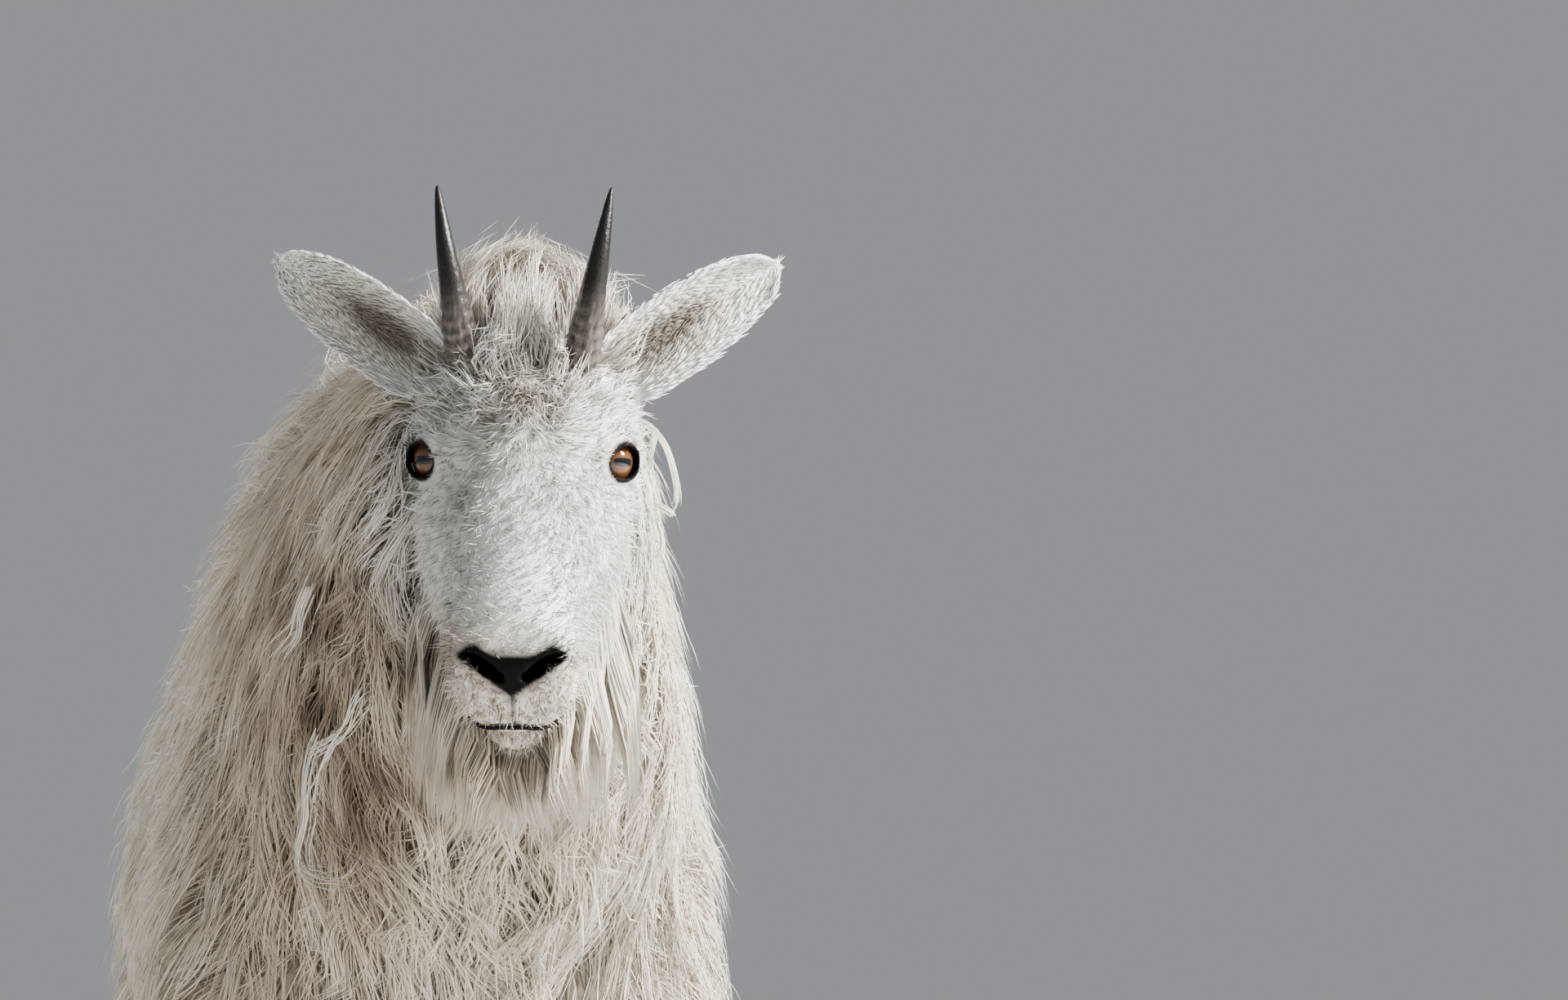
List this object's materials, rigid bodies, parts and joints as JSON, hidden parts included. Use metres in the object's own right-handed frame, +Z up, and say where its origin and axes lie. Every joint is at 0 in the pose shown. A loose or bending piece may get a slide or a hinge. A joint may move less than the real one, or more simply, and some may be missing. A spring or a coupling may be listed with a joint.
{
  "type": "mountain goat",
  "caption": "Life-size still model of a young mountain goat standing square, with short black horns, leaf-shaped ears, a beard and a shedding cream coat.",
  "frame": {"origin": "centre of the bounding box at the floor the hooves stand on", "axes": "+Z up, +Y from the nose towards the tail, +X to the animal's left"},
  "size_m": [0.3748, 1.383, 0.9173],
  "materials": {
    "coat": "matted cream wool and guard hair",
    "short_fur": "short white fur",
    "horn": "smooth black horn, rough at the base",
    "eye": "wet glossy amber-brown",
    "hoof": "worn dark horn"
  },
  "bodies": {
    "root": {"neck": "coat", "shoulders": "coat", "barrel": "coat", "rump": "coat", "tail": "coat", "beard": "coat", "thigh_fore_left": "coat", "thigh_fore_right": "coat", "thigh_hind_left": "coat", "thigh_hind_right": "coat", "head": "short_fur", "ear_left": "short_fur", "ear_right": "short_fur", "shank_fore_left": "short_fur", "shank_fore_right": "short_fur", "shank_hind_left": "short_fur", "shank_hind_right": "short_fur", "horn_left": "horn", "horn_right": "horn", "eye_left": "eye", "eye_right": "eye", "hoof_fore_left": "hoof", "hoof_fore_right": "hoof", "hoof_hind_left": "hoof", "hoof_hind_right": "hoof", "dewclaw_fore_left_in": "hoof", "dewclaw_fore_left_out": "hoof", "dewclaw_fore_right_in": "hoof", "dewclaw_fore_right_out": "hoof", "dewclaw_hind_left_in": "hoof", "dewclaw_hind_left_out": "hoof", "dewclaw_hind_right_in": "hoof", "dewclaw_hind_right_out": "hoof"}
  },
  "joints": []
}
